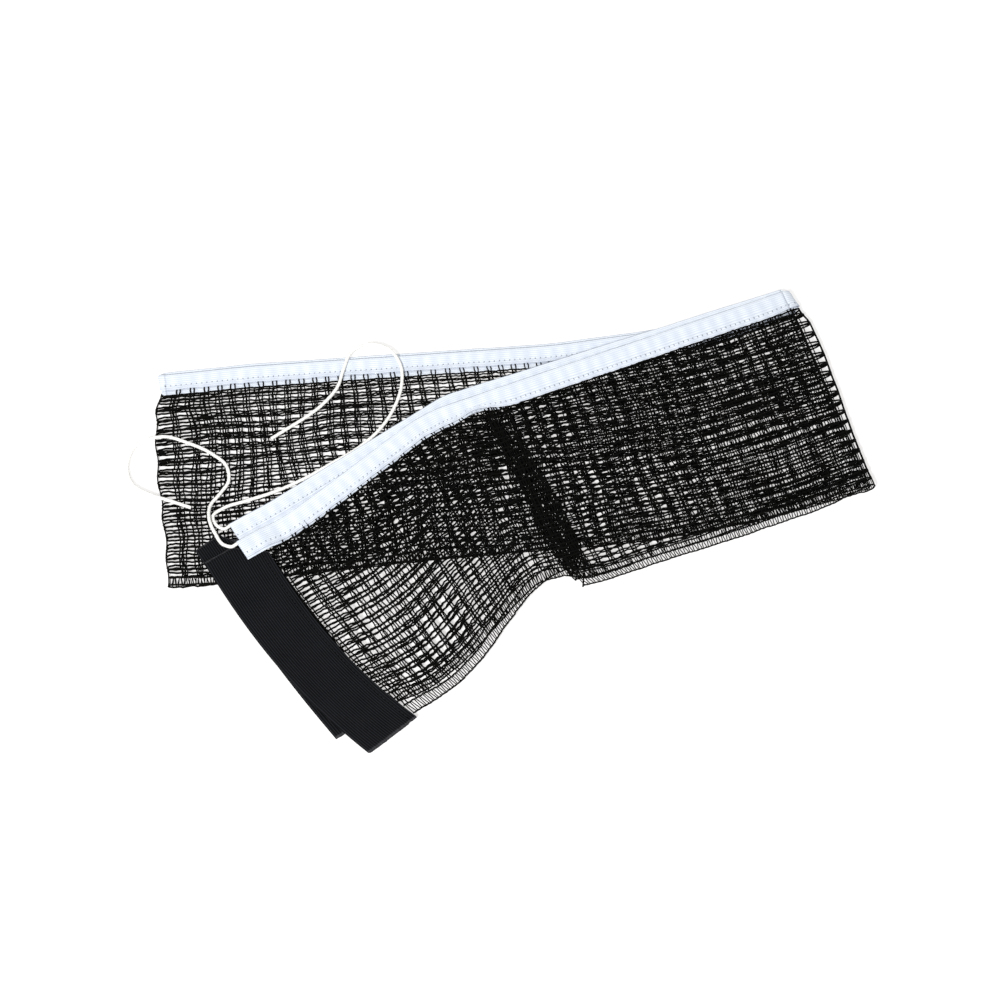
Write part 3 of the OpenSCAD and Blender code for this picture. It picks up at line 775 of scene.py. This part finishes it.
# ---- netting
def blend_or_ride(piece, bent, body):
    """Bake a piece's transform and leave it on no body if bent, its two heights, is given, or else ride it
    on body.
    """
    if bent:
        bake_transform(piece)
    else:
        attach(piece, body)


def netting(name, nodes, body, shape, bent=None):
    piece = shape.piece(name, netting_yarn)
    blend_or_ride(piece, bent, body)
    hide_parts(*nodes)
    return piece


shape = Shape()
knit(shape, bottom, 0, LOWER_LENGTH, 110)
net_bottom = netting("netting_bottom", ["netting_bottom_panel"], "lower_half", shape)

shape = Shape()
knit(shape, third, 0, LOWER_LENGTH, 120)
net_third = netting("netting_third", ["netting_third_panel"], "lower_half", shape)

shape = Shape()
knit(shape, second, 0, SECOND_BEND, 130)
knit(shape, second_end, SECOND_BEND, SECOND_NETTED, 130)
net_second = netting("netting_second", ["netting_second_panel", "netting_second_end"], "upper_half", shape)

shape = Shape()
knit(shape, top, 0, TOP_BEND, 150, extra=(203.5, 208, 212.5, 216.2))
pleat(shape, 150)
knit(shape, top_end, TOP_BEND, TOP_NETTED, 190)
net_top = netting("netting_top", ["netting_top_panel", "netting_top_pleat", "netting_top_end"],
                  "upper_half", shape)

shape = Shape()
bight(shape, bottom, 0.0, top, 0.0, FOLD_OUT, 6.15, 5.55, 1, (110, 150, 71),
      (0.15, math.pi / 2, math.pi - 0.15))
netting("netting_outer_bight", ["netting_outer_fold"], None, shape, bent=(1.3, 11.0))

shape = Shape()
bight(shape, third, 0.0, second, 0.0, FOLD_OUT, 5.55, 1.65, 0.2, (120, 130, 72), (math.pi / 2,))
netting("netting_inner_bight", ["netting_inner_fold"], None, shape, bent=(4.6, 6.5))

shape = Shape()
bight(shape, bottom, LOWER_LENGTH, third, LOWER_LENGTH, MIDDLE_OUT, 2.25, 1.65, 0, (110, 120, 73),
      (math.pi / 2,))
netting("netting_middle_bight", ["netting_middle_fold"], "lower_half", shape)


# ---- head tape: a ribbon folded over its cord
RIBBON_HALF = 0.16
W_EDGE = 15.0


def ribbon_outline(n_edge):
    """Outline of the folded ribbon (distance from its fold, height), narrow face up, and its weave."""
    arc = [(TAPE_CENTRE + 1.24 * math.cos(a), TAPE_CENTRE + 1.24 * math.sin(a))
           for a in np.radians(np.arange(70, 291, 20))]
    upper = [(n_edge, 1.56), (n_edge - 0.7, 1.6), (n_edge - 1.6, 1.63), (9.0, 1.7), (7.2, 1.86),
             (5.4, 2.14), (3.8, 2.45), (2.6, 2.6)]
    lower = [(3.0, 0.18), (5.0, 0.17), (8.0, 0.17), (11.0, 0.17), (13.0, 0.17), (14.3, 0.18), (W_EDGE, 0.2)]
    path = np.array(upper + arc + lower, float)
    t = unit(np.gradient(path, axis=0))
    n = np.stack([-t[:, 1], t[:, 0]], -1)
    length = np.concatenate([[0], np.cumsum(np.linalg.norm(np.diff(path, axis=0), axis=1))])
    nose = length[len(upper) + len(arc) // 2]
    outline = np.concatenate([path + n * RIBBON_HALF, (path - n * RIBBON_HALF)[::-1]])
    weave = np.concatenate([nose - length, (nose - length)[::-1]])
    return outline, weave


def tape_section(n_edge, narrow_up):
    """The ribbon's outline with its narrow face up or down."""
    outline, weave = ribbon_outline(n_edge)
    if not narrow_up:
        outline[:, 1] = TAPE_T - outline[:, 1]
    return outline, weave


def ribbon(points, weave_x, weave_y):
    """Closed ribbon from the points of its outline (outline, rings, 3) and its weave along and across."""
    shape = Shape()
    shape.swept(points, np.stack(np.broadcast_arrays(weave_x[None, :], weave_y[:, None], 0.0), -1))
    return shape


def edge_shift(z0, s):
    """The top tape's raw edge lies lower over the right panel and is pulled up at the head of the pleat."""
    if z0 != TOP_Z:
        return 0.0 * s
    return 1.7 * ease(s / 20) * ease((230 - s) / 40) - 4.2 * np.exp(-((s - 222) / 13) ** 2)


def run_ribbon(start, run, z0, section, s, seed):
    """Points of the ribbon's outline along a run, a little uneven as cloth is."""
    outline, weave = section
    n = Noise(seed)
    inward = ease(s / 8)[None]
    d = outline[:, :1] + inward * (0.22 * n(s / 21, 1.5) + 0.08 * n(s / 5.3, 7.5))[None]
    raw = ease((weave[:, None] - 8.5) / 3)
    d = d + raw * (inward * 0.42 * n(s / 6.1, 12.5)[None] + edge_shift(z0, s)[None])
    d = d + ease((-weave[:, None] - 8.5) / 3) * np.minimum(edge_shift(z0, s), 0)[None]
    xy = left_of(pose_at(start, run, s)[None], d)
    pucker = 0.07 * np.cos(2 * math.pi * s / STITCH_PITCH)[None] * ease((outline[:, :1] - 6) / 4)
    z = z0 + np.maximum(outline[:, 1:] + inward * (pucker + 0.1 * n(s / 15, outline[:, :1] / 9)), 0.02)
    z = z + end_lift(z0, run_length(run), s[None], d)
    return np.concatenate([xy, z[..., None]], -1)


def fold_ribbon(low, high, outline, fold):
    """The ribbon round a fold, between the end sections of two tapes, and how far it has turned."""
    phi = np.linspace(0, math.pi, 13)
    share = (phi / math.pi)[None, :, None]
    rho = outline[:, 1] - TAPE_CENTRE if fold.narrow_out else TAPE_CENTRE - outline[:, 1]
    base = low[:, None, :2] + (high[:, None, :2] - low[:, None, :2]) * share
    r = (fold.radius + rho)[:, None]
    past = fold.reach[0] + (fold.reach[1] - fold.reach[0]) * outline[:, :1] / W_EDGE
    xy = base + fold.out * ((r + past) * np.sin(phi))[..., None]
    z = fold.centre - r * np.cos(phi)
    return np.concatenate([xy, z[..., None]], -1), phi * fold.radius


def stitches(tape, faces):
    """The stitches along a tape's seam, on the faces given as (height, way up)."""
    s = np.arange(math.ceil(3 / STITCH_PITCH), int(tape.sewn / STITCH_PITCH)) * STITCH_PITCH
    n = Noise(int(tape.z * 10) + 300)
    reach = np.array([-1.32, -0.95, 0.95, 1.32])
    at = s[:, None] + reach + 0.12 * n(s / 3, 1.5)[:, None]
    d = tape.seam + 0.16 * n(s / 7, 4.5)[:, None] + 0.07 * np.array([-1, -1, 1, 1]) + 0 * at
    xy = left_of(pose_at(tape.start, tape.run, at), d)
    shape = Shape()
    for height, way in faces:
        dip = way * np.array([-0.16, 0.09, 0.09, -0.16])
        z = tape.z + height + dip + end_lift(tape.z, run_length(tape.run), at, d)
        shape.tubes(np.concatenate([xy, z[..., None]], -1), None, 0.2, 0.8, 6)
    return shape


def sheathed_cord(tape):
    """The head cord inside a tape."""
    length = run_length(tape.run)
    s = np.linspace(0.2, length, int(length / 4))
    xy = left_of(pose_at(tape.start, tape.run, s), TAPE_CENTRE)
    z = tape.z + TAPE_CENTRE + end_lift(tape.z, length, s, TAPE_CENTRE)
    shape = Shape()
    shape.tubes(np.concatenate([xy, z[:, None]], -1)[None], None, SHEATHED_CORD_R, 1.0, 9)
    return shape


# edge, seam: how far the narrow ply and the seam lie from the fold; sewn: how far along the seam runs
Tape = namedtuple("Tape", "start run z narrow_up edge seam sewn body")
TAPES = {
    "bottom": Tape(BOTTOM_START, LOWER_RUN, BOTTOM_Z, False, 12.6, 10.4, LOWER_LENGTH, "lower_half"),
    "third": Tape(THIRD_START, LOWER_RUN, THIRD_Z, True, 11.6, 9.4, LOWER_LENGTH, "lower_half"),
    "second": Tape(SECOND_START, SECOND_RUN, SECOND_Z, False, 12.6, 10.4, SECOND_NETTED, "upper_half"),
    "top": Tape(TOP_START, TOP_RUN, TOP_Z, True, 13.7, 11.4, SECOND_NETTED, "upper_half"),
}
NARROW_FACE = 1.66 + RIBBON_HALF
looks = {k: tape_look("tape_" + k, tape.seam, tape.edge) for k, tape in TAPES.items()}
tape_ends = {}
for k, tape in TAPES.items():
    section = tape_section(tape.edge, tape.narrow_up)
    s = np.linspace(0, run_length(tape.run), int(run_length(tape.run) / 1.7))
    points = run_ribbon(tape.start, tape.run, tape.z, section, s, 200 + int(tape.z))
    tape_ends[k] = points[:, 0], points[:, -1]
    faces = [(NARROW_FACE, 1), (0.01, -1)]
    if not tape.narrow_up:
        faces = [(TAPE_T - height, -way) for height, way in faces]
    off_floor = [f for f in faces if tape.z + f[0] > 0.3]
    for shape, name, look, node, slot in (
        (ribbon(points, s, section[1]), "head_tape_{}_ribbon", looks[k], "head_tape_", "head_tape"),
        (stitches(tape, off_floor), "tape_stitches_{}", tape_thread, "tape_seam_", "tape_thread"),
        (sheathed_cord(tape), "head_cord_{}_rope", cord_yarn, "head_cord_", "cord"),
    ):
        piece = shape.piece(name.format(k), look)
        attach(piece, tape.body)
        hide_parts(node + k)


def bight_cord(low, high, at_s, fold):
    """The head cord round a fold, between two tapes at the length at_s of their runs."""
    phi = np.linspace(0, math.pi, 13)
    a, b = (left_of(pose_at(tape.start, tape.run, np.array(at_s)), TAPE_CENTRE) for tape in (low, high))
    past = (fold.radius + fold.reach[0]) * np.sin(phi)
    xy = a + (b - a) * (phi / math.pi)[:, None] + fold.out * past[:, None]
    z = fold.centre - fold.radius * np.cos(phi)
    shape = Shape()
    shape.tubes(np.concatenate([xy, z[:, None]], -1)[None], np.array([-fold.out[1], fold.out[0], 0.0]),
                SHEATHED_CORD_R, 1.0, 9)
    return shape


# end: 0 at the tapes' starts, 1 at their far ends; bent: two heights; where given, the pieces are left on
# no body with their transforms baked, else they ride on the lower half
Fold = namedtuple("Fold", "low high end out centre radius reach narrow_out bent")
FOLDS = {
    "outer": Fold("bottom", "top", 0, FOLD_OUT, 6.35, 4.95, (-0.3, 3.2), True, (2.9, 9.8)),
    "inner": Fold("third", "second", 0, FOLD_OUT, 6.35, 1.65, (0.0, 1.5), False, (6.0, 6.7)),
    "middle": Fold("bottom", "third", 1, MIDDLE_OUT, 3.05, 1.65, (1.6, 2.2), True, None),
}
for k, fold in FOLDS.items():
    low, high = TAPES[fold.low], TAPES[fold.high]
    outline, weave = tape_section((low.edge + high.edge) / 2, True)
    a, b = tape_ends[fold.low][fold.end], tape_ends[fold.high][fold.end]
    points, turned = fold_ribbon(a, b, outline, fold)
    core = bight_cord(low, high, LOWER_LENGTH * fold.end, fold)
    for shape, kind, look, slot in (
        (ribbon(points, turned, weave), "head_tape_", looks[fold.high], "head_tape"),
        (core, "head_cord_", cord_yarn, "cord"),
    ):
        piece = shape.piece(kind + k + "_bight", look)
        blend_or_ride(piece, fold.bent, "lower_half")
        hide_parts(kind + k + "_fold")


# ---- post sleeves: ribbed webbing folded lengthwise
# How far the sewn head of each sleeve is cut back, as a share of its length, across the width
FRONT_TOP = ([0, 0.3, 0.5, 0.66, 1], [0, -0.028, -0.045, -0.03, 0.01])
BACK_TOP = ([0, 0.3, 0.5, 0.66, 1], [0, -0.031, -0.05, 0.01, 0])
# Heights of its two plies and half their thickness; the seam's place across the width; its stitches
PLY_LOW, PLY_HIGH, PLY_HALF = 0.36, 2.64, 0.27
SLEEVE_SEAM = 0.89
SEAM_STITCH, SEAM_FROM = 3.1, 3.0


class Sleeve:
    """A post sleeve: its corners, the bow of its long edges, the cuts of its foot and head, its height."""

    def __init__(self, corners, bow, foot, head, z0, seed):
        self.corners, self.bow, self.foot, self.head, self.z0 = corners, bow, foot, head, z0
        self.noise = Noise(seed)

    def xy(self, u, v):
        """Where the shares u, from the folded edge to the free edges, and v, from head to foot, lie."""
        start = np.interp(u, *self.head)
        t = start + (self.foot - start) * v

        def bowed(a, b):
            way = (b - a) / np.linalg.norm(b - a)
            bow = self.bow * 4 * t * (1 - t)
            return a + (b - a) * t[..., None] + np.array([way[1], -way[0]]) * bow[..., None]

        a, b, c, d = self.corners
        return bowed(a, b) * (1 - u)[..., None] + bowed(c, d) * u[..., None]

    def base(self, xy):
        return self.z0 + 2 * PITCH_Z * held_up(xy)

    def soft(self, u, v):
        """Slow rise and fall of the upper ply."""
        return 0.22 * self.noise(v * 7, u * 3) + 0.12 * self.noise(v * 19, u * 5 + 9)

    def webbing(self, name):
        shares = np.arange(1, 0.04, -RIB / 5 / SLEEVE_W)
        arc = np.radians(np.arange(-75, 76, 25))
        path = np.array([(u, PLY_LOW) for u in shares]
                        + [(0.036 - 0.029 * math.cos(a), 1.5 + 1.14 * math.sin(a)) for a in arc]
                        + [(u, PLY_HIGH) for u in shares[::-1]])
        mm = path * [SLEEVE_W, 1.0]
        t = unit(np.gradient(mm, axis=0))
        normal = np.stack([-t[:, 1], t[:, 0]], -1)
        length = np.concatenate([[0], np.cumsum(np.linalg.norm(np.diff(mm, axis=0), axis=1))])
        half = PLY_HALF + 0.1 * np.cos(2 * math.pi * length / RIB)[:, None]
        outline = np.concatenate([mm + normal * half, (mm - normal * half)[::-1]])
        upper = np.concatenate([path[:, 1], path[::-1, 1]]) > 2
        along = np.linspace(0, 1, 64)
        u = (outline[:, 0] / SLEEVE_W)[:, None] + 0 * along
        v = along[None] + 0 * u
        fray = 0.004 * self.noise(u * SLEEVE_W / 1.3, 5.5) * (np.abs(v - 0.5) > 0.497)
        xy = self.xy(np.clip(u, 0, 1.01), v + fray)
        sewn = -0.34 * np.exp(-(((u - SLEEVE_SEAM) * SLEEVE_W) / 0.8) ** 2)
        z = self.base(xy) + outline[:, 1:] + np.where(upper[:, None], self.soft(u, v) + sewn, 0.0)
        points = np.concatenate([xy, z[..., None]], -1)
        shape = ribbon(points, along * SLEEVE_LENGTH, np.concatenate([length, length[::-1]]))
        from_edge = (1 - SLEEVE_SEAM) * SLEEVE_W
        look = webbing_look(name + "_webbing", SLEEVE_LENGTH, (from_edge, length[-1] - from_edge))
        return shape.piece(name, look)

    def stitches(self, name):
        s = np.arange(SEAM_FROM, SLEEVE_LENGTH - SEAM_FROM, SEAM_STITCH)
        v = (s[:, None] + np.array([-1.2, -0.8, 0.8, 1.2])) / SLEEVE_LENGTH
        u = SLEEVE_SEAM + 0.002 * self.noise(s / 9, 3.5)[:, None] + 0 * v
        xy = self.xy(u, v)
        shape = Shape()
        for height, way in ((PLY_HIGH - 0.04, 1), (0.06, -1)):
            z = self.base(xy) + height + way * np.array([-0.2, 0.12, 0.12, -0.2])
            if way > 0:
                z = z + self.soft(u, v)
            lines = np.concatenate([xy, np.maximum(z, 0.2)[..., None]], -1)
            shape.tubes(lines, None, 0.26, 0.8, 6)
        return shape.piece(name + "_stitches", sleeve_thread)


for name, place in (
    ("sleeve_back", Sleeve(BACK_SLEEVE, 2, 0.985, BACK_TOP, 0.0, 401)),
    ("sleeve_front", Sleeve(FRONT_SLEEVE, 7, 1.02, FRONT_TOP, PITCH_Z, 402)),
):
    piece, seam = place.webbing(name), place.stitches(name)
    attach(piece, "upper_half")
    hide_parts(name + "_lower_ply", name + "_upper_ply", name + "_folded_edge")
    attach(seam, "upper_half")
    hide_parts(name + "_seam")


# ---- floor, light and camera
FLOOR_HALF = 20
floor = bpy.data.meshes.new("floor")
corners = [(x * FLOOR_HALF, y * FLOOR_HALF, 0) for x, y in ((-1, -1), (1, -1), (1, 1), (-1, 1))]
floor.from_pydata(corners, [], [(0, 1, 2, 3)])
floor_ob = bpy.data.objects.new("floor", floor)
bpy.context.scene.collection.objects.link(floor_ob)
paper = bpy.data.materials.new("paper")
paper.use_nodes = True
paper_bsdf = next(n for n in paper.node_tree.nodes if n.type == "BSDF_PRINCIPLED")
paper_bsdf.inputs["Base Color"].default_value = (0.5, 0.5, 0.5, 1)
paper_bsdf.inputs["Emission Color"].default_value = (1.0, 0.985, 0.975, 1)
paper_bsdf.inputs["Emission Strength"].default_value = 0.6
paper_bsdf.inputs["Roughness"].default_value = 0.9
paper_bsdf.inputs["Specular IOR Level"].default_value = 0.1
floor.materials.append(paper)

world = bpy.data.worlds.new("studio")
bpy.context.scene.world = world
world.use_nodes = True
sky = next(n for n in world.node_tree.nodes if n.type == "BACKGROUND")
sky.inputs["Color"].default_value = (1, 1, 1, 1)
sky.inputs["Strength"].default_value = 0.62

key = bpy.data.lights.new("key", "AREA")
key.shape, key.size, key.energy = "SQUARE", 0.3, 36.0
key_ob = bpy.data.objects.new("key", key)
key_ob.location = (-0.45, -1.1, 1.6)
key_ob.rotation_euler = (-key_ob.location).to_track_quat("-Z", "Y").to_euler()
bpy.context.scene.collection.objects.link(key_ob)

camera = bpy.data.cameras.new("camera")
camera.lens, camera.sensor_width = 80, 36
camera.clip_start, camera.clip_end = 0.05, 30
camera_ob = bpy.data.objects.new("camera", camera)
aim, distance, elevation = np.array([-0.0073, -0.006, 0.0]), 1.4245, math.radians(64)
place = aim + distance * np.array([0, -math.cos(elevation), math.sin(elevation)])
camera_ob.location = place.tolist()
look = Vector((-0.0073, 0.0085, 0.0)) - Vector(place.tolist())
camera_ob.rotation_euler = look.to_track_quat("-Z", "Y").to_euler()
bpy.context.scene.collection.objects.link(camera_ob)
bpy.context.scene.camera = camera_ob
bpy.context.scene.view_settings.view_transform = "Standard"
